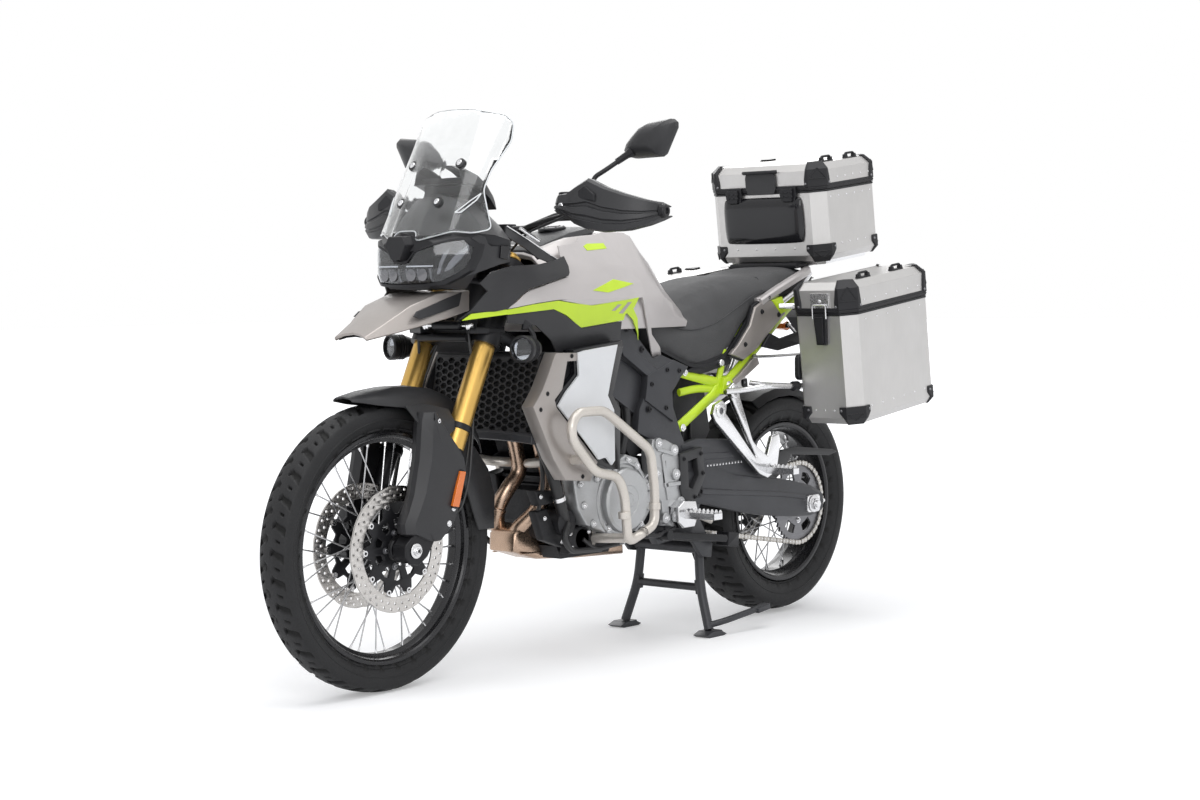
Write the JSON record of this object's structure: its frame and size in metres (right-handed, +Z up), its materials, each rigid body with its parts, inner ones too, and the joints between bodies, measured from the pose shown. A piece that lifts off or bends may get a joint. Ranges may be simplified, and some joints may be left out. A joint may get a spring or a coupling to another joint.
{
  "type": "adventure motorcycle",
  "caption": "Tall two-wheeled touring motorcycle with wire wheels, gold upside-down fork, windscreen, crash bars and three hinged aluminium cases, on its centre stand.",
  "frame": {"origin": "on the floor, under the middle of the overall length and width", "axes": "+X forwards, +Y to the rider's left, +Z up"},
  "size_m": [2.2814, 1.01, 1.41],
  "materials": {
    "frame_paint": "satin",
    "lime_paint": "satin",
    "engine_black": "matte",
    "cast_aluminium": "satin",
    "hot_steel": "satin",
    "silencer_steel": "satin",
    "radiator_fins": "matte",
    "black_plastic": "satin",
    "champagne_paint": "satin",
    "white_panel": "satin",
    "bar_steel": "satin",
    "silver_paint": "satin",
    "lamp_lens": "gloss",
    "clear_screen": "gloss",
    "seat_cover": "matte",
    "tail_lens": "gloss",
    "chain_steel": "satin",
    "black_metal": "satin",
    "polished_aluminium": "satin",
    "case_aluminium": "satin",
    "backrest_pad": "gloss",
    "gold_anodised": "satin",
    "tyre_rubber": "matte",
    "rim_black": "satin",
    "spoke_steel": "polished",
    "disc_steel": "satin"
  },
  "bodies": {
    "chassis": {"main_frame": "frame_paint", "rear_subframe": "lime_paint", "engine_block": "engine_black", "engine_covers": "cast_aluminium", "exhaust_pipes": "hot_steel", "silencer": "silencer_steel", "radiator": "radiator_fins", "radiator_grille": "black_plastic", "radiator_shrouds": "champagne_paint", "shroud_panels": "white_panel", "crash_bars": "bar_steel", "fuel_tank": "silver_paint", "side_fairings": "silver_paint", "lower_side_panels": "black_plastic", "nose_fairing": "black_plastic", "headlamp": "lamp_lens", "beak": "champagne_paint", "windscreen": "clear_screen", "cockpit": "black_plastic", "fog_lamps": "black_plastic", "seat": "seat_cover", "tail_panels": "champagne_paint", "luggage_racks": "bar_steel", "rear_mudguard": "black_plastic", "tail_lamp": "tail_lens", "swingarm": "frame_paint", "chain": "chain_steel", "rear_shock": "frame_paint", "rear_caliper": "black_metal", "footpegs": "polished_aluminium", "top_case": "case_aluminium", "backrest": "backrest_pad", "left_case": "case_aluminium", "right_case": "case_aluminium"},
    "steering": {"fork_tubes": "gold_anodised", "fork_legs": "black_metal", "yokes": "black_metal", "handlebar": "black_metal", "handguards": "black_plastic", "mirrors": "black_plastic", "front_mudguard": "black_plastic", "front_calipers": "black_metal"},
    "front_wheel": {"front_tyre": "tyre_rubber", "front_rim": "rim_black", "front_hub": "black_metal", "front_spokes": "spoke_steel", "front_discs": "disc_steel"},
    "rear_wheel": {"rear_tyre": "tyre_rubber", "rear_rim": "rim_black", "rear_hub": "black_metal", "rear_spokes": "spoke_steel", "rear_disc": "disc_steel"},
    "centre_stand": {"centre_stand": "frame_paint"},
    "side_stand": {"side_stand": "frame_paint"},
    "top_case_lid": {"top_case_lid": "case_aluminium"},
    "left_case_lid": {"left_case_lid": "case_aluminium"},
    "right_case_lid": {"right_case_lid": "case_aluminium"}
  },
  "joints": [
    {"name": "steering_head", "type": "hinge", "parent": "chassis", "child": "steering", "pos_m": [0.44976, 0, 0.92], "axis": [-0.4305, 0, 0.9026], "range_deg": [-36, 36]},
    {"name": "front_wheel_spin", "type": "hinge", "parent": "steering", "child": "front_wheel", "pos_m": [0.793, 0, 0.3477], "axis": [0, 1, 0], "continuous": true},
    {"name": "rear_wheel_spin", "type": "hinge", "parent": "chassis", "child": "rear_wheel", "pos_m": [-0.793, 0, 0.3269], "axis": [0, 1, 0], "continuous": true},
    {"name": "centre_stand_fold", "type": "hinge", "parent": "chassis", "child": "centre_stand", "pos_m": [-0.33, 0, 0.24], "axis": [0, 1, 0], "range_deg": [0, 72]},
    {"name": "side_stand_fold", "type": "hinge", "parent": "chassis", "child": "side_stand", "pos_m": [-0.11, 0.16, 0.3], "axis": [0, -0.9511, -0.309], "range_deg": [0, 88]},
    {"name": "top_lid_hinge", "type": "hinge", "parent": "chassis", "child": "top_case_lid", "pos_m": [-1.09831, 0, 1.27496], "axis": [0, -1, 0], "range_deg": [0, 80]},
    {"name": "left_lid_hinge", "type": "hinge", "parent": "chassis", "child": "left_case_lid", "pos_m": [-1.01568, 0.34, 0.93582], "axis": [0, -1, 0], "range_deg": [0, 80]},
    {"name": "right_lid_hinge", "type": "hinge", "parent": "chassis", "child": "right_case_lid", "pos_m": [-1.01568, -0.34, 0.93582], "axis": [0, -1, 0], "range_deg": [0, 80]}
  ]
}
